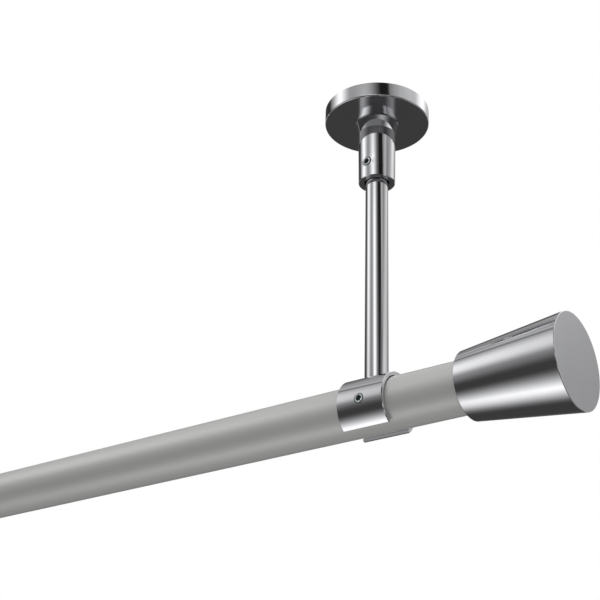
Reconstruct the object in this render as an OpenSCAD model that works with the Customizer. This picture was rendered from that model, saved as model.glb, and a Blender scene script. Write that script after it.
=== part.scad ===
// Ceiling-mounted curtain rod: a round tube hangs from two stem brackets,
// with a cone finial pushed onto each end of the tube.
// Millimetres, +Z up. The origin lies on the ceiling plane, midway between
// the brackets. X runs along the rod, and the set screws face the room, -Y.

/* [Rod] */
// Length of the tube
tube_len = 1000; // [600:10:2400]
// Outer diameter of the tube
tube_d = 20; // [18:0.5:24]
// Wall of the tube
tube_wall = 1; // [0.8:0.1:1.5]
// Height of the rod's axis under the ceiling
rod_drop = 131.9; // [110:0.1:250]
// Distance from each end of the tube to the axis of its bracket
bracket_inset = 60; // [45:1:150]

/* [Rosette] */
// Diameter of the ceiling disc
rosette_d = 42.9; // [36:0.1:60]
// Thickness of the ceiling disc
rosette_t = 6.5; // [5:0.1:10]
// Radius of the disc's rounded lower edge
rosette_edge = 0.5; // [0.2:0.1:1.5]
// Width of the rim that bears on the ceiling
rosette_rim = 3; // [2:0.1:5]
// Depth of the relief in the disc's back
rosette_relief = 1.2; // [0.5:0.1:2]
// Diameter of the pad round the ceiling screw in the disc's back
rosette_pad_d = 14; // [12:0.5:18]
// Diameter of the hole for the ceiling screw
ceiling_hole_d = 5.5; // [4.5:0.1:6.5]

/* [Neck] */
// Visible length of the neck under the disc
neck_len = 28.3; // [26:0.1:45]
// Wall at the neck's lower end
neck_wall = 2.4; // [2:0.1:4]
// Growth of the neck's radius up to its flare
neck_draft = 0.25; // [0:0.05:0.8]
// Height of the conical flare under the disc
flare_h = 5; // [3:0.1:10]
// Growth of the radius over the flare
flare_w = 1; // [0.3:0.05:3]
// Bevel on the flare's widest edge, against the disc
flare_bevel = 0.4; // [0.2:0.05:0.8]
// Thickness of the floor between the stem's bore and the disc
neck_floor = 6.3; // [4.5:0.1:8]
// Width of the ledge round the ceiling screw's countersink
neck_ledge = 0.2; // [0.1:0.1:1]
// Diameter of the spigot that centres the neck in the disc
spigot_d = 10; // [8:0.1:11]
// Height of the spigot
spigot_h = 3; // [1.5:0.1:3.2]
// Height of the neck's set screw above the neck's lower end
neck_grub_rise = 7; // [5:0.1:10]

/* [Stem] */
// Diameter of the stem
stem_d = 9.15; // [8:0.05:12]
// Radial play of the stem in the neck's bore
stem_play = 0.425; // [0.3:0.025:0.6]
// Free height above the stem in the neck's bore
stem_headroom = 2; // [0.5:0.5:6]
// Bevel on the stem's top edge
stem_bevel = 0.6; // [0.2:0.1:1.5]

/* [Saddle] */
// Length of the saddle along the rod
saddle_len = 20; // [14:0.5:30]
// Wall of the saddle
saddle_wall = 1.6; // [1.6:0.1:3]
// Radial play of the tube in the saddle
rod_play = 0.3; // [0.2:0.05:0.5]
// How far each leg of the saddle reaches round below the rod's axis, in degrees
leg_angle = 56; // [30:1:65]
// Bevel on the outer edge of each leg's lip
lip_bevel = 0.4; // [0.2:0.1:0.8]

/* [Screws] */
// Thread diameter of the set screws
grub_d = 4; // [3:0.5:5]
// Length of the neck's set screw
neck_grub_len = 3; // [2.5:0.1:5]
// Length of the saddle's set screw
saddle_grub_len = 2; // [1.8:0.1:4]
// Width across the flats of the set screws' sockets
grub_hex = 2; // [1.3:0.1:2.5]
// Depth of the set screws' sockets
grub_hex_depth = 1.3; // [0.8:0.1:1.5]
// Gap between a set screw's tip and what it clamps
tip_gap = 0.1; // [0.05:0.05:0.3]
// Thread diameter of the countersunk screw that holds the stem
stem_screw_d = 3; // [2.5:0.5:4]
// Head diameter of that screw
stem_screw_head_d = 5.5; // [5:0.1:5.6]
// Length of that screw
stem_screw_len = 10; // [6:0.5:16]
// Width across the flats of that screw's socket
stem_screw_hex = 2; // [1.3:0.1:2]
// Radial play between a screw and its thread
thread_play = 0.05; // [0.03:0.01:0.1]

/* [Finial] */
// Length of the finial
finial_len = 40.9; // [34:0.1:60]
// Diameter of the finial's end face
finial_end_d = 35.2; // [32:0.1:50]
// Wall of the finial round the tube at its small end
finial_wall = 2.8; // [1.5:0.1:4]
// Depth of the socket that the tube enters
socket_depth = 20; // [18:0.5:24]
// Radial play of the tube in the finial's socket
socket_play = 0.1; // [0.05:0.01:0.1]
// Radius of the finial's rounded edges
finial_edge = 0.25; // [0.1:0.05:1]

/* [Finial insert] */
// Length of the plug inside the tube
insert_len = 16; // [13:0.5:18]
// Radial play between the plug's barbs and the tube's bore
insert_play = 0.1; // [0.05:0.01:0.1]
// Number of barbs round the plug
barbs = 4; // [2:1:6]
// Height of each barb
barb_h = 0.9; // [0.5:0.1:1.2]
// Width of the crossed slots that let the plug spring
slot_w = 1.6; // [1:0.1:2.5]
// Depth of the pocket for the screw's head
pocket_depth = 8; // [5:0.5:9]
// Thread diameter of the screw that holds the plug
insert_screw_d = 4; // [3:0.5:4]
// Head diameter of that screw
insert_screw_head_d = 7.6; // [6:0.1:8]
// Head height of that screw
insert_screw_head_h = 2.6; // [1.5:0.1:3]
// Length of that screw below its head
insert_screw_len = 16; // [13:0.5:20]

/* [Hidden] */
$fn = 96;
// Gap between pieces that are pressed or screwed together round a curve
seat_gap = 0.05;
// Bevel on small machined edges
small_bevel = 0.25;
// Play round a screw head in its pocket
head_play = 0.2;
// Height of the plain edge on a countersunk head
head_edge = 0.15;
// How far a drilled hole runs past the tip of its screw
drill_spare = 1;
// How far a cutting shape runs past the surface that it cuts
past = 1;

tube_r = tube_d / 2;
tube_bore_r = tube_r - tube_wall;
bracket_x = tube_len / 2 - bracket_inset;
finial_x = tube_len / 2 - socket_depth;
ceiling_hole_r = ceiling_hole_d / 2;
spigot_r = spigot_d / 2;
stem_r = stem_d / 2;
neck_bore_r = stem_r + stem_play;
neck_low_r = neck_bore_r + neck_wall;
neck_high_r = neck_low_r + neck_draft;
neck_z = -rosette_t - neck_len;
flare_r = neck_high_r + flare_w;
neck_bore_depth = neck_len - neck_floor;
ceiling_head_r = neck_bore_r - neck_ledge;
stem_top_z = neck_z + neck_bore_depth - stem_headroom;
neck_grub_z = neck_z + neck_grub_rise;
saddle_bore_r = tube_r + rod_play;
saddle_r = saddle_bore_r + saddle_wall;
open_half_angle = 90 - leg_angle;
grub_hole_r = grub_d / 2 + thread_play;
stem_screw_r = stem_screw_d / 2;
stem_screw_head_r = stem_screw_head_d / 2;
socket_r = tube_r + socket_play;
finial_small_r = socket_r + finial_wall;
finial_end_r = finial_end_d / 2;
insert_r = tube_bore_r - insert_play;
barb_root_r = insert_r - barb_h;
barb_pitch = insert_len / barbs;
insert_screw_r = insert_screw_d / 2;
insert_screw_head_r = insert_screw_head_d / 2;
pocket_r = insert_screw_head_r + head_play;

// Points on an arc, from angle a to angle b
function arc(centre, r, a, b, steps) =
    [for (i = [0:steps]) centre + r * [cos(a + (b - a) * i / steps), sin(a + (b - a) * i / steps)]];

// Places a piece at the left (-1) or right (1) bracket
module at_bracket(side) translate([side * bracket_x, 0, 0]) children();

// Drops a piece to the height of the rod's axis
module at_rod() translate([0, 0, -rod_drop]) children();

// Lays a turned piece, drawn along Z, along X with its tip outwards
module along_rod(side) at_rod() mirror([side < 0 ? 1 : 0, 0, 0]) rotate([0, 90, 0]) children();

// Places a finial piece, drawn along Z from the finial's small end
module at_end(side) along_rod(side) translate([0, 0, finial_x]) children();

// Turns a piece drawn along Z to face the room, starting at a distance from the axis
module to_room(distance) translate([0, -distance, 0]) rotate([90, 0, 0]) children();

// Ceiling disc, turned, with a relieved back and a recess for the neck's spigot
module rosette() {
    r = rosette_d / 2;
    recess_r = spigot_r + seat_gap;
    color("silver")
    translate([0, 0, -rosette_t])
    rotate_extrude()
    polygon(concat(
        [[ceiling_hole_r, spigot_h + seat_gap], [recess_r, spigot_h + seat_gap], [recess_r, 0]],
        arc([r - rosette_edge, rosette_edge], rosette_edge, -90, 0, 6),
        [
            [r, rosette_t - small_bevel],
            [r - small_bevel, rosette_t],
            [r - rosette_rim, rosette_t],
            [r - rosette_rim - rosette_relief, rosette_t - rosette_relief],
            [rosette_pad_d / 2 + rosette_relief, rosette_t - rosette_relief],
            [rosette_pad_d / 2, rosette_t],
            [ceiling_hole_r, rosette_t]
        ]
    ));
}

// Neck that holds the stem: drafted outside, flared into the disc, bored below
// and countersunk above for the ceiling screw
module neck() {
    head_sink = ceiling_head_r - ceiling_hole_r;
    color("lightgray")
    translate([0, 0, neck_z])
    difference() {
        rotate_extrude()
        polygon([
            [neck_bore_r, neck_bore_depth],
            [neck_bore_r, small_bevel],
            [neck_bore_r + small_bevel, 0],
            [neck_low_r - small_bevel, 0],
            [neck_low_r, small_bevel],
            [neck_high_r, neck_len - flare_h],
            [flare_r, neck_len - flare_bevel],
            [flare_r - flare_bevel, neck_len],
            [spigot_r, neck_len],
            [spigot_r, neck_len + spigot_h - small_bevel],
            [spigot_r - small_bevel, neck_len + spigot_h],
            [ceiling_hole_r, neck_len + spigot_h],
            [ceiling_hole_r, neck_bore_depth + head_sink],
            [ceiling_head_r, neck_bore_depth]
        ]);
        translate([0, 0, neck_grub_rise])
        to_room(stem_r)
        cylinder(r = grub_hole_r, h = neck_high_r + past);
    }
}

// Hexagon socket set screw with a flat point, its tip at the origin
module grub(length) {
    r = grub_d / 2;
    tip_bevel = grub_d / 5;
    color("dimgray")
    difference() {
        rotate_extrude()
        polygon([
            [0, 0],
            [r - tip_bevel, 0],
            [r, tip_bevel],
            [r, length - small_bevel],
            [r - small_bevel, length],
            [0, length]
        ]);
        translate([0, 0, length - grub_hex_depth])
        cylinder(d = grub_hex / cos(30), h = grub_hex_depth + past, $fn = 6);
    }
}

module neck_grub()
    translate([0, 0, neck_grub_z])
    to_room(stem_r + tip_gap)
    grub(neck_grub_len);

module saddle_grub()
    at_rod()
    to_room(tube_r + tip_gap)
    grub(saddle_grub_len);

// Round stem, its foot milled to the saddle's radius and tapped for the screw
module stem() {
    foot_z = -rod_drop + saddle_r * cos(asin(stem_r / saddle_r)) - past;
    color("lightgray")
    difference() {
        translate([0, 0, foot_z])
        rotate_extrude()
        polygon([
            [0, 0],
            [stem_r, 0],
            [stem_r, stem_top_z - foot_z - stem_bevel],
            [stem_r - stem_bevel, stem_top_z - foot_z],
            [0, stem_top_z - foot_z]
        ]);
        at_rod()
        rotate([0, 90, 0])
        cylinder(r = saddle_r + seat_gap, h = stem_d + past, center = true);
        stem_screw_seat();
    }
}

// Countersunk screw shape, its head's face at the origin, grown all round by play
module countersunk(length, play, bevel) {
    head_r = stem_screw_head_r + play;
    shank_r = stem_screw_r + play;
    sink = head_r - shank_r;
    rotate_extrude()
    polygon([
        [0, 0],
        [head_r, 0],
        [head_r, head_edge],
        [shank_r, head_edge + sink],
        [shank_r, length - bevel],
        [shank_r - bevel, length],
        [0, length]
    ]);
}

// Hole for the countersunk screw through the saddle and on into the stem
module stem_screw_seat()
    at_rod()
    translate([0, 0, saddle_bore_r]) {
        countersunk(stem_screw_len + drill_spare, thread_play, 0);
        translate([0, 0, -past])
        cylinder(r = stem_screw_head_r + thread_play, h = past);
    }

// Countersunk screw, driven from inside the saddle up into the stem
module stem_screw() {
    head_h = head_edge + stem_screw_head_r - stem_screw_r;
    color("dimgray")
    at_rod()
    translate([0, 0, saddle_bore_r])
    difference() {
        countersunk(stem_screw_len, 0, 2 * small_bevel);
        translate([0, 0, -past])
        cylinder(d = stem_screw_hex / cos(30), h = past + head_h, $fn = 6);
    }
}

// Cutter for the bevel along the outer edge of a lip
module lip_cut()
    at_rod()
    rotate([-leg_angle, 0, 0])
    translate([0, saddle_r, 0])
    rotate([45, 0, 0])
    cube([saddle_len + past, lip_bevel * sqrt(2), lip_bevel * sqrt(2)], center = true);

// Saddle: an open ring with radial lips, drilled for the stem's screw and
// tapped for the set screw
module saddle() {
    half = saddle_len / 2;
    color("silver")
    difference() {
        at_rod()
        rotate([0, 90, 0])
        rotate([0, 0, open_half_angle])
        rotate_extrude(angle = 360 - 2 * open_half_angle)
        polygon([
            [saddle_bore_r + small_bevel, -half],
            [saddle_r - small_bevel, -half],
            [saddle_r, small_bevel - half],
            [saddle_r, half - small_bevel],
            [saddle_r - small_bevel, half],
            [saddle_bore_r + small_bevel, half],
            [saddle_bore_r, half - small_bevel],
            [saddle_bore_r, small_bevel - half]
        ]);
        at_rod()
        to_room(tube_r)
        cylinder(r = grub_hole_r, h = saddle_r);
        stem_screw_seat();
        lip_cut();
        mirror([0, 1, 0]) lip_cut();
    }
}

// Curtain tube
module tube() {
    color("gainsboro")
    at_rod()
    rotate([0, 90, 0])
    translate([0, 0, -tube_len / 2])
    rotate_extrude()
    polygon([
        [tube_bore_r + small_bevel, 0],
        [tube_r - small_bevel, 0],
        [tube_r, small_bevel],
        [tube_r, tube_len - small_bevel],
        [tube_r - small_bevel, tube_len],
        [tube_bore_r + small_bevel, tube_len],
        [tube_bore_r, tube_len - small_bevel],
        [tube_bore_r, small_bevel]
    ]);
}

// Turned cone with a socket for the tube and a tapped hole for the plug's screw
module finial() {
    tapped_r = insert_screw_r + thread_play;
    tapped_end = socket_depth + insert_screw_len - insert_len + pocket_depth + drill_spare;
    cone_angle = atan((finial_end_r - finial_small_r) / (finial_len - 2 * finial_edge));
    color("silver")
    rotate_extrude()
    polygon(concat(
        [[socket_r + small_bevel, 0]],
        arc([finial_small_r - finial_edge, finial_edge], finial_edge, -90, -cone_angle, 4),
        arc([finial_end_r - finial_edge, finial_len - finial_edge], finial_edge, -cone_angle, 90, 4),
        [
            [0, finial_len],
            [0, tapped_end],
            [tapped_r, tapped_end],
            [tapped_r, socket_depth],
            [socket_r, socket_depth],
            [socket_r, small_bevel]
        ]
    ));
}

// Barbed plug inside the tube's end: slotted where it springs, solid at its root
module finial_insert() {
    barb_flat = barb_pitch / 4;
    color("whitesmoke")
    translate([0, 0, socket_depth - insert_len])
    difference() {
        rotate_extrude()
        polygon(concat(
            [[pocket_r, 0]],
            [for (i = [0:barbs - 1], p = [
                [barb_root_r, i * barb_pitch],
                [insert_r, (i + 1) * barb_pitch - barb_flat],
                [insert_r, (i + 1) * barb_pitch]
            ]) p],
            [
                [insert_screw_r + head_play, insert_len],
                [insert_screw_r + head_play, pocket_depth],
                [pocket_r, pocket_depth]
            ]
        ));
        for (turn = [0, 90])
        rotate([0, 0, turn])
        translate([-tube_r, -slot_w / 2, -past])
        cube([tube_d, slot_w, pocket_depth + past]);
    }
}

// Pan-head screw that holds the plug to the cone
module finial_screw() {
    dome = insert_screw_head_h / 3;
    tip_z = insert_screw_head_h + insert_screw_len;
    recess_w = insert_screw_r / 2;
    recess_h = insert_screw_head_h * 2 / 3;
    color("dimgray")
    translate([0, 0, socket_depth - insert_len + pocket_depth - insert_screw_head_h])
    difference() {
        rotate_extrude()
        polygon([
            [0, 0],
            [insert_screw_head_r - dome, 0],
            [insert_screw_head_r, dome],
            [insert_screw_head_r, insert_screw_head_h],
            [insert_screw_r, insert_screw_head_h],
            [insert_screw_r, tip_z - 2 * small_bevel],
            [insert_screw_r - 2 * small_bevel, tip_z],
            [0, tip_z]
        ]);
        for (turn = [0, 90])
        rotate([0, 0, turn])
        translate([-insert_screw_r, -recess_w / 2, -past])
        cube([insert_screw_d, recess_w, past + recess_h]);
    }
}

at_bracket(-1) rosette();  // rosette_left
at_bracket(1) rosette();  // rosette_right
at_bracket(-1) neck();  // neck_left
at_bracket(1) neck();  // neck_right
at_bracket(-1) neck_grub();  // neck_grub_left
at_bracket(1) neck_grub();  // neck_grub_right
at_bracket(-1) stem();  // stem_left
at_bracket(1) stem();  // stem_right
at_bracket(-1) stem_screw();  // stem_screw_left
at_bracket(1) stem_screw();  // stem_screw_right
at_bracket(-1) saddle();  // saddle_left
at_bracket(1) saddle();  // saddle_right
at_bracket(-1) saddle_grub();  // saddle_grub_left
at_bracket(1) saddle_grub();  // saddle_grub_right
tube();
at_end(-1) finial();  // finial_left
at_end(1) finial();  // finial_right
at_end(-1) finial_insert();  // finial_insert_left
at_end(1) finial_insert();  // finial_insert_right
at_end(-1) finial_screw();  // finial_screw_left
at_end(1) finial_screw();  // finial_screw_right
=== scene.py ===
# Looks of a ceiling-mounted curtain rod: finishes, threaded screws, studio and camera.
# Metres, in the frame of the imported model: X along the rod, -Y to the room, +Z up.

import math
from collections import namedtuple

import bpy
from mathutils import Matrix, Vector


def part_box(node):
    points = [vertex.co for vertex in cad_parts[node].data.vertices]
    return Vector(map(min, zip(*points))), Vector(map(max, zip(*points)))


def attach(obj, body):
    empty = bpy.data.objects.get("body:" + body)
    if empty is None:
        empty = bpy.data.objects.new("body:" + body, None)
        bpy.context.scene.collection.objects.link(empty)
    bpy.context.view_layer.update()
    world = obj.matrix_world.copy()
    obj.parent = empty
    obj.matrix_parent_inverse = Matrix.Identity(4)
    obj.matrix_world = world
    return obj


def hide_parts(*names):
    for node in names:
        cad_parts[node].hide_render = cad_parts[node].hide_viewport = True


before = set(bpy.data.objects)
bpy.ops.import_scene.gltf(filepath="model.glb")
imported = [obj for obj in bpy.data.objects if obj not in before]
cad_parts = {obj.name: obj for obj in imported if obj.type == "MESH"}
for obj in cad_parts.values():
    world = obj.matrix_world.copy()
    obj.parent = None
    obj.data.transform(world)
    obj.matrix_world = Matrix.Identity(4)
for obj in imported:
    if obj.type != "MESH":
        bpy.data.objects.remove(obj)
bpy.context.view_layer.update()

SIDES = ("left", "right")
MM = 0.001


# Node trees

# Places of the colour sockets on a Mix node, whose numbers and colours share their names.
COLOUR_LOW, COLOUR_HIGH, COLOUR_RESULT = 6, 7, 2


class Nodes:
    """Adds nodes to the tree of one material or world, and joins them."""

    def __init__(self, owner):
        owner.use_nodes = True
        self.tree = owner.node_tree
        self.tree.nodes.clear()

    def feed(self, socket, value):
        """Sets a socket, or links it to another node's output."""
        if isinstance(value, bpy.types.NodeSocket):
            self.tree.links.new(value, socket)
        else:
            socket.default_value = value

    def add(self, kind, inputs=None, **settings):
        """A new node, with its inputs by name or place and its settings by name."""
        node = self.tree.nodes.new("ShaderNode" + kind)
        for name, value in settings.items():
            setattr(node, name, value)
        for name, value in (inputs or {}).items():
            self.feed(node.inputs[name], value)
        return node

    def math(self, operation, *values):
        """The number that an operation makes of its values."""
        node = self.add("Math", operation=operation)
        for socket, value in zip(node.inputs, values):
            self.feed(socket, value)
        return node.outputs["Value"]

    def mix(self, amount, low, high):
        """A number that runs from low to high as amount runs from 0 to 1."""
        node = self.add("Mix", {"Factor": amount, "A": low, "B": high}, data_type="FLOAT")
        return node.outputs["Result"]

    def ramp(self, value, start, end, low=0.0, high=1.0):
        """Runs smoothly from low to high as value goes from start to end."""
        node = self.add("MapRange", interpolation_type="SMOOTHSTEP")
        for name, number in zip(("Value", "From Min", "From Max", "To Min", "To Max"),
                                (value, start, end, low, high)):
            self.feed(node.inputs[name], number)
        return node.outputs["Result"]

    def noise(self, point, size, detail=2.0, roughness=0.5):
        """Noise from 0 to 1 whose spots are about size metres wide."""
        node = self.add("TexNoise", {
            "Vector": point, "Scale": 0.5 / size, "Detail": detail, "Roughness": roughness,
        })
        return node.outputs["Fac"]

    def place(self):
        """The surface point in metres, which moves with the piece."""
        return self.add("TexCoord").outputs["Object"]

    def stretched(self, point, along):
        """The point with each axis divided by a length ratio, for marks that run one way."""
        node = self.add("VectorMath", {0: point}, operation="MULTIPLY")
        node.inputs[1].default_value = [1 / ratio for ratio in along]
        return node.outputs["Vector"]

    def bump(self, height, depth):
        """A normal from a height of 0 to 1 that stands for depth metres."""
        node = self.add("Bump", {"Height": height, "Distance": depth, "Strength": 1.0})
        return node.outputs["Normal"]

    def tint(self, amount, low, high):
        """A colour that runs from low to high as amount runs from 0 to 1."""
        node = self.add("Mix", data_type="RGBA")
        self.feed(node.inputs["Factor"], amount)
        self.feed(node.inputs[COLOUR_LOW], (*low, 1.0))
        self.feed(node.inputs[COLOUR_HIGH], (*high, 1.0))
        return node.outputs[COLOUR_RESULT]

    def finish(self, shader):
        """Joins a shader to the material's surface."""
        output = self.add("OutputMaterial")
        self.tree.links.new(shader, output.inputs["Surface"])


# Finishes

CLEAN_CHROME = (0.807, 0.809, 0.830)
WIPED_CHROME = (0.782, 0.785, 0.806)
PLATE_WAVE = 2.2 * MM
PLATE_DEPTH = 0.0005 * MM
MARK_ROUGHNESS = 0.02


def polished_chrome(name):
    """Bright chrome plate: nearly a mirror, faintly wavy, with dust-dry wipe marks."""
    material = bpy.data.materials.new(name)
    nodes = Nodes(material)
    point = nodes.place()
    wipe_marks = nodes.noise(nodes.stretched(point, (1, 1, 3)), 14 * MM, 3.0)
    wiped = nodes.ramp(wipe_marks, 0.42, 0.72)
    hairline = nodes.ramp(nodes.noise(nodes.stretched(point, (1, 1, 24)), 0.25 * MM), 0.60, 0.75)
    roughness = nodes.math("MULTIPLY_ADD", hairline, MARK_ROUGHNESS, nodes.mix(wiped, 0.030, 0.055))
    shader = nodes.add("BsdfPrincipled", {
        "Base Color": nodes.tint(wiped, CLEAN_CHROME, WIPED_CHROME),
        "Metallic": 1.0,
        "Roughness": roughness,
        "Normal": nodes.bump(nodes.noise(point, PLATE_WAVE, 1.0), PLATE_DEPTH),
    })
    nodes.finish(shader.outputs["BSDF"])
    return material


LATHE_FEED = 0.35 * MM
LATHE_SHARE = 0.35
DULL_ROUGHNESS = 0.06
DULL_EDGE = 0.3 * MM


def turned_chrome(name, centre, axis, dull_radius=0.0):
    """Chrome over a turned face: the same plate, with traces of the lathe round one axis.

    Within dull_radius of the axis it was polished less, so what it reflects is softer.
    """
    material = bpy.data.materials.new(name)
    nodes = Nodes(material)
    point = nodes.place()
    offset = nodes.add("VectorMath", {0: point}, operation="SUBTRACT")
    offset.inputs[1].default_value = centre
    across = nodes.add("VectorMath", {0: offset.outputs["Vector"]}, operation="MULTIPLY")
    across.inputs[1].default_value = [1.0 - abs(part) for part in axis]
    radius = nodes.add("VectorMath", {0: across.outputs["Vector"]}, operation="LENGTH").outputs["Value"]
    rings = nodes.add("TexNoise", {"W": radius, "Scale": 1 / LATHE_FEED, "Detail": 1.0},
                      noise_dimensions="1D").outputs["Fac"]
    wiped = nodes.ramp(nodes.noise(point, 11 * MM, 3.0), 0.42, 0.72)
    roughness = nodes.math("MULTIPLY_ADD", rings, MARK_ROUGHNESS, nodes.mix(wiped, 0.035, 0.06))
    dull = nodes.ramp(radius, dull_radius, dull_radius - DULL_EDGE)
    roughness = nodes.math("MULTIPLY_ADD", dull, DULL_ROUGHNESS, roughness)
    surface = nodes.mix(LATHE_SHARE, nodes.noise(point, PLATE_WAVE, 1.0), rings)
    shader = nodes.add("BsdfPrincipled", {
        "Base Color": nodes.tint(wiped, CLEAN_CHROME, WIPED_CHROME),
        "Metallic": 1.0,
        "Roughness": roughness,
        "Normal": nodes.bump(surface, PLATE_DEPTH),
    })
    nodes.finish(shader.outputs["BSDF"])
    return material


DARK_LACQUER = (0.560, 0.558, 0.551)
LIGHT_LACQUER = (0.618, 0.616, 0.608)
FLAKE_SIZE = 0.12 * MM
PEEL_SIZE = 0.7 * MM
PEEL_DEPTH = 0.0015 * MM


def satin_lacquer(name):
    """Light grey metallic lacquer on the tube: soft highlights, fine flakes and orange peel."""
    material = bpy.data.materials.new(name)
    nodes = Nodes(material)
    point = nodes.place()
    flakes = nodes.add("TexVoronoi", {"Vector": point, "Scale": 1 / FLAKE_SIZE}).outputs["Color"]
    sparkle = nodes.add("SeparateColor", {"Color": flakes}).outputs["Red"]
    cloud = nodes.noise(nodes.stretched(point, (6, 1, 1)), 9 * MM, 2.0)
    tone = nodes.math("ADD", nodes.math("MULTIPLY", sparkle, 0.4), nodes.math("MULTIPLY", cloud, 0.6))
    shader = nodes.add("BsdfPrincipled", {
        "Base Color": nodes.tint(tone, DARK_LACQUER, LIGHT_LACQUER),
        "Metallic": 0.2,
        "Roughness": nodes.mix(cloud, 0.28, 0.34),
        "Normal": nodes.bump(nodes.noise(point, PEEL_SIZE, 2.0), PEEL_DEPTH),
    })
    nodes.finish(shader.outputs["BSDF"])
    return material


CLEAN_STEEL = (0.83, 0.84, 0.845)
STAINED_STEEL = (0.72, 0.73, 0.735)


def bright_steel(name):
    """Zinc-bright steel of the screws: fine grain and duller patches."""
    material = bpy.data.materials.new(name)
    nodes = Nodes(material)
    point = nodes.place()
    grain = nodes.noise(point, 0.15 * MM, 3.0)
    stain = nodes.ramp(nodes.noise(point, 0.8 * MM, 2.0), 0.45, 0.70)
    shader = nodes.add("BsdfPrincipled", {
        "Base Color": nodes.tint(stain, CLEAN_STEEL, STAINED_STEEL),
        "Metallic": 1.0,
        "Roughness": nodes.mix(grain, 0.16, 0.28),
        "Normal": nodes.bump(grain, 0.001 * MM),
    })
    nodes.finish(shader.outputs["BSDF"])
    return material


# Two tones of painted shade for the screws' sockets and threads.
DARK_SOCKET_SHADE = (0.10, 0.15, 0.15)
LIGHT_SOCKET_SHADE = (0.18, 0.24, 0.24)


def socket_shade_steel(name):
    """Steel painted dark to stand for the shade in the set screws' sockets; the hidden threads under
    the face get it too.
    """
    material = bpy.data.materials.new(name)
    nodes = Nodes(material)
    point = nodes.place()
    # Random mottle within the painted shade.
    shade_mottle = nodes.noise(point, 0.3 * MM, 3.0, 0.6)
    shader = nodes.add("BsdfPrincipled", {
        "Base Color": nodes.tint(shade_mottle, DARK_SOCKET_SHADE, LIGHT_SOCKET_SHADE),
        "Metallic": 0.5,
        "Roughness": nodes.mix(shade_mottle, 0.30, 0.48),
        "Normal": nodes.bump(shade_mottle, 0.006 * MM),
    })
    nodes.finish(shader.outputs["BSDF"])
    return material


DARK_NYLON = (0.80, 0.79, 0.74)
LIGHT_NYLON = (0.84, 0.83, 0.785)


def moulded_nylon(name):
    """Natural nylon of the finial's plug, with a light spark texture from its mould."""
    material = bpy.data.materials.new(name)
    nodes = Nodes(material)
    point = nodes.place()
    spark = nodes.noise(point, 0.12 * MM, 3.0, 0.65)
    flow = nodes.noise(nodes.stretched(point, (4, 1, 1)), 4 * MM, 2.0)
    shader = nodes.add("BsdfPrincipled", {
        "Base Color": nodes.tint(flow, DARK_NYLON, LIGHT_NYLON),
        "Roughness": nodes.mix(spark, 0.34, 0.50),
        "IOR": 1.53,
        "Subsurface Weight": 0.12,
        "Subsurface Scale": 1.5 * MM,
        "Normal": nodes.bump(spark, 0.006 * MM),
    })
    nodes.finish(shader.outputs["BSDF"])
    return material


def wear(node, material):
    """Gives a CAD node its finish."""
    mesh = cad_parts[node].data
    mesh.materials.clear()
    mesh.materials.append(material)


DISC_EDGE = 0.6 * MM


def dress_nodes():
    """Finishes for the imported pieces, except the screws, which make_screws replaces."""
    chrome = polished_chrome("polished_chrome")
    nylon = moulded_nylon("moulded_nylon")
    wear("tube", satin_lacquer("satin_lacquer"))
    for side in SIDES:
        low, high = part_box("rosette_" + side)
        middle = (low + high) / 2
        face_radius = (high.x - low.x) / 2 - DISC_EDGE
        disc_chrome = turned_chrome("turned_chrome_disc_" + side, middle, (0, 0, 1), face_radius)
        low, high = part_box("finial_" + side)
        middle = (low + high) / 2
        cone_chrome = turned_chrome("turned_chrome_finial_" + side, middle, (1, 0, 0))
        wear("rosette_" + side, disc_chrome)
        wear("neck_" + side, chrome)
        wear("stem_" + side, chrome)
        wear("saddle_" + side, chrome)
        wear("finial_" + side, cone_chrome)
        wear("finial_insert_" + side, nylon)


# Screws

SEGMENTS = 48
THREAD_STEPS = 8
SHARP_ANGLE = math.radians(28)
FACE_DEPTH = 0.08 * MM
TIP_BEVEL = 0.5 * MM
THREAD_LEAD = 0.3 * MM
HEAD_EDGE = 0.15 * MM
CROWN_STEPS = 5
M3_RADIUS = 1.5 * MM
M4_RADIUS = 2.0 * MM


def round_edge(radius):
    """The radius of a circle at any angle."""
    return lambda angle: radius


def hexagon_edge(across_flats):
    """The radius of a hexagon at any angle, with a corner at angle 0."""
    sixth = math.pi / 3
    return lambda angle: across_flats / 2 / math.cos(angle % sixth - sixth / 2)


def cross_edge(reach, waist):
    """The radius of a cross recess at any angle."""
    return lambda angle: waist + (reach - waist) * abs(math.cos(2 * angle)) ** 3


def thread_edge(z, outer, pitch, depth):
    """The radius of a V thread at height z and any angle."""
    def radius(angle):
        turn = (z / pitch - angle / math.tau) % 1.0
        return outer - depth * abs(2 * turn - 1)
    return radius


def thread_rings(start, end, outer, pitch, depth):
    """Rings of a thread from start to end, faded out at both ends."""
    steps = max(2, round((end - start) / pitch * THREAD_STEPS))
    rings = []
    for step in range(steps + 1):
        z = start + (end - start) * step / steps
        fade = min(1.0, step / THREAD_STEPS * 2, (steps - step) / THREAD_STEPS * 2)
        rings.append((z, thread_edge(z, outer, pitch, depth * fade)))
    return rings


def stacked(name, rings):
    """A closed mesh through rings round the Z axis, with a point at each end."""
    points = [(0.0, 0.0, rings[0][0])]
    for z, edge in rings:
        for index in range(SEGMENTS):
            angle = math.tau * index / SEGMENTS
            points.append((edge(angle) * math.cos(angle), edge(angle) * math.sin(angle), z))
    points.append((0.0, 0.0, rings[-1][0]))
    last = len(points) - 1
    faces = []
    for index in range(SEGMENTS):
        after = (index + 1) % SEGMENTS
        faces.append((0, 1 + after, 1 + index))
        for ring in range(len(rings) - 1):
            low = 1 + ring * SEGMENTS
            high = low + SEGMENTS
            faces.append((low + index, low + after, high + after, high + index))
        top = 1 + (len(rings) - 1) * SEGMENTS
        faces.append((last, top + index, top + after))
    mesh = bpy.data.meshes.new(name)
    mesh.from_pydata(points, [], faces)
    mesh.shade_smooth()
    mesh.set_sharp_from_angle(angle=SHARP_ANGLE)
    return mesh


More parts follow.
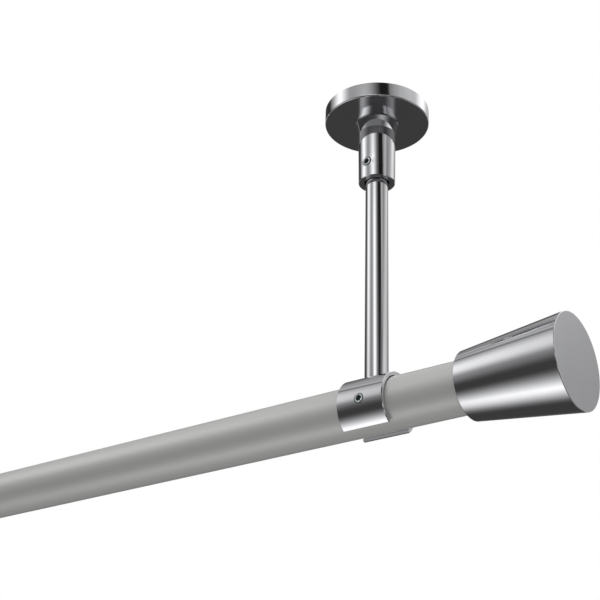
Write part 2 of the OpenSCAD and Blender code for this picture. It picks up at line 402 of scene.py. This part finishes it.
def hexagon_socket(top, across_flats, depth):
    """Rings from the chamfered mouth of a hexagon socket down to its drilled point."""
    mouth = across_flats / math.sqrt(3) * 1.06
    drilled = across_flats / 2
    return [
        (top, round_edge(mouth)),
        (top - (mouth - drilled) * 0.5, hexagon_edge(across_flats)),
        (top - depth, hexagon_edge(across_flats)),
        (top - depth, round_edge(drilled * 0.98)),
        (top - depth - drilled * 0.25, round_edge(drilled * 0.1)),
    ]


def grub_rings(radius, length, pitch=0.7 * MM, thread_depth=0.32 * MM, across_flats=2.0 * MM):
    """Set screw: flat tip at 0, thread, bevelled face and hexagon socket."""
    tip_bevel = radius * 0.4
    edge_bevel = 0.35 * MM
    socket_depth = min(1.3 * MM, length * 0.7)
    return [
        (0.0, round_edge(radius - tip_bevel)),
        *thread_rings(tip_bevel * 0.5, length - edge_bevel, radius, pitch, thread_depth),
        (length, round_edge(radius - edge_bevel)),
        *hexagon_socket(length, across_flats, socket_depth),
    ]


def darken_below(mesh, height):
    """Gives the second finish, steel painted dark as shade, to every face whose middle lies under a
    height.
    """
    for face in mesh.polygons:
        if face.center.z < height:
            face.material_index = 1


def countersunk_rings(head_radius, radius, length, pitch=0.5 * MM, thread_depth=0.27 * MM,
                      across_flats=2.0 * MM):
    """Countersunk screw: tip at 0, thread, cone and a hexagon socket in the head's face."""
    head_height = head_radius - radius + HEAD_EDGE
    neck = length - head_height
    return [
        (0.0, round_edge(radius - TIP_BEVEL)),
        *thread_rings(THREAD_LEAD, neck - THREAD_LEAD, radius, pitch, thread_depth),
        (neck, round_edge(radius)),
        (length - HEAD_EDGE, round_edge(head_radius)),
        (length, round_edge(head_radius)),
        *hexagon_socket(length, across_flats, head_height),
    ]


def pan_rings(head_radius, radius, length, pitch=0.7 * MM, thread_depth=0.33 * MM,
              head_height=2.6 * MM):
    """Pan-head screw: tip at 0, thread, domed head and a cross recess."""
    dome = head_height / 3
    neck = length - head_height
    reach = radius * 0.95
    waist = radius * 0.45
    crown = []
    for step in range(CROWN_STEPS + 1):
        turn = math.radians(90 * step / CROWN_STEPS)
        height = length - dome + dome * math.sin(turn)
        crown.append((height, round_edge(head_radius - dome + dome * math.cos(turn))))
    return [
        (0.0, round_edge(radius - TIP_BEVEL)),
        *thread_rings(THREAD_LEAD, neck - THREAD_LEAD, radius, pitch, thread_depth),
        (neck, round_edge(radius)),
        (neck, round_edge(head_radius)),
        *crown,
        (length, cross_edge(reach, waist)),
        (length - head_height * 0.6, cross_edge(reach * 0.55, waist * 0.7)),
        (length - head_height * 0.66, round_edge(waist * 0.3)),
    ]


def toward(direction):
    """The turn that lays a screw drawn along Z with its face towards a direction."""
    return Vector((0, 0, 1)).rotation_difference(Vector(direction)).to_matrix().to_4x4()


def fit_screw(node, body, finishes, rings, face):
    """Puts a detailed screw where the CAD has its plain one, its tip at the far end."""
    low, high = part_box(node)
    middle = (low + high) / 2
    reach = [abs(part) * (high[axis] - low[axis]) / 2 for axis, part in enumerate(face)]
    length = 2 * max(reach)
    mesh = stacked(node + "_threaded", rings)
    for finish in finishes:
        mesh.materials.append(finish)
    # The second finish is painted shade: socket and thread faces under the face get the dark steel.
    if len(finishes) > 1:
        darken_below(mesh, length - FACE_DEPTH)
    mesh.transform(Matrix.Translation(middle - Vector(face) * length / 2) @ toward(face))
    screw = bpy.data.objects.new(node + "_threaded", mesh)
    bpy.context.scene.collection.objects.link(screw)
    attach(screw, body)
    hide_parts(node)


def make_screws():
    """Threaded screws in place of the plain ones in the brackets and finials."""
    steel = bright_steel("bright_steel")
    # Steel painted dark as the shade inside the set screws' sockets.
    socket_shade = socket_shade_steel("socket_shade_steel")
    for side, outward in zip(SIDES, (-1, 1)):
        for place in ("neck", "saddle"):
            node = f"{place}_grub_{side}"
            low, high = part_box(node)
            rings = grub_rings((high.x - low.x) / 2, high.y - low.y)
            fit_screw(node, node, (steel, socket_shade), rings, (0, -1, 0))
        node = "stem_screw_" + side
        low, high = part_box(node)
        rings = countersunk_rings((high.x - low.x) / 2, M3_RADIUS, high.z - low.z)
        fit_screw(node, "hangers", (steel,), rings, (0, 0, -1))
        node = "finial_screw_" + side
        low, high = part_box(node)
        rings = pan_rings((high.y - low.y) / 2, M4_RADIUS, high.x - low.x)
        fit_screw(node, "finial_" + side, (steel,), rings, (-outward, 0, 0))


# Studio

# A panel of the studio, seen from the bracket in degrees: the azimuth and elevation of its
# middle, its width and height, how soft its sides and ends are, how far its sides lean for
# each degree up, and how bright it is. A later panel hangs in front of an earlier one.
Panel = namedtuple("Panel", "at size soft level lean", defaults=(0,))

PANELS = {
    "grey_wall": Panel(at=(55, 55), size=(170, 40), soft=(45, 5), lean=-1.5, level=0.55),
    "dark_corner": Panel(at=(175, 25), size=(30, 55), soft=(15, 25), lean=-1, level=0.03),
    "dark_ceiling": Panel(at=(150, 40), size=(45, 15), soft=(55, 5), level=0.03),
    "key_box": Panel(at=(-145, 32), size=(25, 25), soft=(35, 20), lean=-0.5, level=1.1),
    "key_glow": Panel(at=(-135, 10), size=(15, 15), soft=(30, 30), level=0.3),
    "strip_box": Panel(at=(-75, 25), size=(20, 17), soft=(35, 8), lean=-1, level=1.2),
    "flag_shade": Panel(at=(-45, 35), size=(30, 70), soft=(35, 15), lean=-1.5, level=0),
    "black_flag": Panel(at=(-38, 35), size=(20, 40), soft=(2, 10), lean=-2.5, level=0.01),
    "back_box": Panel(at=(75, 45), size=(30, 25), soft=(30, 30), lean=1.25, level=1.35),
    "right_box": Panel(at=(25, 15), size=(50, 20), soft=(60, 20), level=0.77),
    "low_box": Panel(at=(-30, -10), size=(25, 15), soft=(50, 10), lean=-3, level=0.5),
    "floor_card": Panel(at=(-160, -55), size=(45, 25), soft=(90, 45), level=1.45),
    "floor_card_right": Panel(at=(55, -50), size=(65, 25), soft=(65, 45), level=0.45),
    "dark_back": Panel(at=(125, 35), size=(20, 30), soft=(10, 5), level=0.1),
    "ceiling_patch": Panel(at=(-165, 55), size=(20, 5), soft=(15, 5), level=0.45),
    "ceiling_seam": Panel(at=(-155, 54), size=(35, 3), soft=(10, 3), level=0.15),
    "slit": Panel(at=(-4, 30), size=(6, 10), soft=(3, 3), level=0.5),
    "thin_flag": Panel(at=(8, 28), size=(12, 10), soft=(10, 3), lean=1.5, level=0.2),
    "front_sill": Panel(at=(-70, 0), size=(60, 10), soft=(25, 5), level=0.4),
    "back_window": Panel(at=(70, 0), size=(45, 15), soft=(20, 10), level=0.6),
    "left_window": Panel(at=(175, 0), size=(25, 15), soft=(10, 10), level=0.5),
    "front_low_card": Panel(at=(-60, -25), size=(85, 10), soft=(25, 5), level=0.4),
}

# Behind the panels, the dome goes from its lower level to its upper one between two elevations.
LOWER_LEVEL = 0.04
UPPER_LEVEL = 0.3
HORIZON = (-10, 40)
DOME_RADIUS = 9.0
DOME_STRENGTH = 1.25
ROUND_SEGMENTS = 96


def dome_material():
    """The studio as polished metal sees it: soft boxes, cards and flags round the object."""
    material = bpy.data.materials.new("studio_dome")
    nodes = Nodes(material)
    point = nodes.add("VectorMath", {0: nodes.place()}, operation="NORMALIZE").outputs["Vector"]
    axes = nodes.add("SeparateXYZ", {"Vector": point}).outputs
    azimuth = nodes.math("DEGREES", nodes.math("ARCTAN2", axes["Y"], axes["X"]))
    elevation = nodes.math("DEGREES", nodes.math("ARCSINE", axes["Z"]))
    level = nodes.ramp(elevation, *HORIZON, LOWER_LEVEL, UPPER_LEVEL)
    for panel in PANELS.values():
        (middle, height), (width, tall), (sides, ends) = panel.at, panel.size, panel.soft
        rise = nodes.math("SUBTRACT", elevation, height)
        leaning = nodes.math("MULTIPLY_ADD", rise, panel.lean, middle)
        turn = nodes.math("WRAP", nodes.math("SUBTRACT", azimuth, leaning), 180.0, -180.0)
        across = nodes.ramp(nodes.math("ABSOLUTE", turn), (width + sides) / 2, (width - sides) / 2)
        up = nodes.ramp(nodes.math("ABSOLUTE", rise), (tall + ends) / 2, (tall - ends) / 2)
        level = nodes.mix(nodes.math("MULTIPLY", across, up), level, panel.level)
    glow = nodes.add("Emission", {"Strength": nodes.math("MULTIPLY", level, DOME_STRENGTH)})
    nodes.finish(glow.outputs["Emission"])
    material.cycles.emission_sampling = "NONE"
    return material


def make_dome(centre):
    """A far dome round the bracket that only reflections see."""
    bpy.ops.mesh.primitive_uv_sphere_add(segments=ROUND_SEGMENTS, ring_count=ROUND_SEGMENTS // 2,
                                         radius=DOME_RADIUS, location=centre)
    dome = bpy.context.object
    dome.name = "studio_dome"
    dome.data.materials.append(dome_material())
    dome.visible_camera = False
    dome.visible_diffuse = False
    dome.visible_transmission = False
    dome.visible_shadow = False


WORLD_LEVEL = 0.33
WHITE = 1.0


def make_world():
    """White where it is seen, and a plain soft level where it lights."""
    world = bpy.data.worlds.new("studio_world")
    bpy.context.scene.world = world
    nodes = Nodes(world)
    path = nodes.add("LightPath").outputs
    seen = nodes.math("MAXIMUM", path["Is Camera Ray"], path["Is Glossy Ray"])
    seen = nodes.math("MAXIMUM", seen, path["Is Transmission Ray"])
    background = nodes.add("Background", {
        "Color": (1.0, 1.0, 1.0, 1.0),
        "Strength": nodes.mix(seen, WORLD_LEVEL, WHITE),
    })
    output = nodes.add("OutputWorld")
    nodes.tree.links.new(background.outputs["Background"], output.inputs["Surface"])


def from_angles(azimuth, elevation):
    """The direction at an azimuth from +X and an elevation, in degrees."""
    turn, rise = math.radians(azimuth), math.radians(elevation)
    return Vector((math.cos(rise) * math.cos(turn), math.cos(rise) * math.sin(turn), math.sin(rise)))


# A soft lamp: its direction from the bracket in degrees, its distance and width in metres,
# and the level that it adds to a white surface square to it.
Lamp = namedtuple("Lamp", "azimuth elevation distance width level")

LAMPS = {
    "top_lamp": Lamp(azimuth=-90, elevation=75, distance=2.5, width=1.6, level=0.66),
    "front_lamp": Lamp(azimuth=-130, elevation=48, distance=2.2, width=1.6, level=0.27),
    "back_lamp": Lamp(azimuth=61, elevation=46, distance=2.5, width=1.2, level=0.12),
    "low_lamp": Lamp(azimuth=-60, elevation=-70, distance=2.0, width=1.6, level=0.18),
}


def make_lamps(centre):
    """Lamps that light the lacquer and the nylon, and that no reflection shows."""
    for name, lamp in LAMPS.items():
        light = bpy.data.lights.new(name, "AREA")
        light.shape = "DISK"
        light.size = lamp.width
        light.energy = lamp.level * math.pi ** 2 * lamp.distance ** 2
        holder = bpy.data.objects.new(name, light)
        bpy.context.scene.collection.objects.link(holder)
        direction = from_angles(lamp.azimuth, lamp.elevation)
        holder.location = centre + direction * lamp.distance
        holder.rotation_euler = direction.to_track_quat("Z", "Y").to_euler()
        holder.visible_glossy = False
        holder.visible_camera = False


FLOOR_DROP = 2.4
FLOOR_RADIUS = 3.2
FLOOR_FADE = (0.45 * FLOOR_RADIUS, 0.98 * FLOOR_RADIUS)
FLOOR_COLOUR = (0.86, 0.86, 0.85, 1.0)


def make_floor():
    """A plain pale floor a room's height below the ceiling, fading out into white."""
    bpy.ops.mesh.primitive_circle_add(vertices=ROUND_SEGMENTS, radius=FLOOR_RADIUS, fill_type="NGON",
                                      location=(0, 0, -FLOOR_DROP))
    floor = bpy.context.object
    floor.name = "floor"
    material = bpy.data.materials.new("pale_floor")
    nodes = Nodes(material)
    reach = nodes.add("VectorMath", {0: nodes.place()}, operation="LENGTH").outputs["Value"]
    fade = nodes.ramp(reach, *FLOOR_FADE)
    paint = nodes.add("BsdfDiffuse", {"Color": FLOOR_COLOUR}).outputs["BSDF"]
    clear = nodes.add("BsdfTransparent").outputs["BSDF"]
    nodes.finish(nodes.add("MixShader", {0: fade, 1: paint, 2: clear}).outputs["Shader"])
    floor.data.materials.append(material)
    floor.visible_glossy = False


# Camera

# The focal length is in the photograph's pixels, the place in metres, the turns in degrees.
PHOTO_PIXELS = 600
FOCAL_PIXELS = 1258
SENSOR = 36.0
CLIP_START = 0.01
CAMERA_PLACE = Vector((0.6814, -0.3652, -0.3025))
CAMERA_YAW, CAMERA_PITCH, CAMERA_ROLL = (math.radians(turn) for turn in (37.35, 26.13, -1.8))


def make_camera():
    """The photograph's view, from below and from the finial's side."""
    data = bpy.data.cameras.new("camera")
    data.sensor_fit = "HORIZONTAL"
    data.sensor_width = SENSOR
    data.lens = SENSOR * FOCAL_PIXELS / PHOTO_PIXELS
    data.clip_start = CLIP_START
    camera = bpy.data.objects.new("camera", data)
    bpy.context.scene.collection.objects.link(camera)
    turn = (Matrix.Rotation(CAMERA_YAW, 4, "Z") @ Matrix.Rotation(CAMERA_PITCH, 4, "X")
            @ Matrix.Rotation(CAMERA_ROLL, 4, "Y") @ Matrix.Rotation(math.pi / 2, 4, "X"))
    camera.matrix_world = Matrix.Translation(CAMERA_PLACE) @ turn
    bpy.context.scene.camera = camera


dress_nodes()
make_screws()
stem_low, stem_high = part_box("stem_right")
bracket = (stem_low + stem_high) / 2
make_dome(bracket)
make_world()
make_floor()
make_lamps(bracket)
make_camera()
bpy.context.scene.view_settings.view_transform = "Standard"
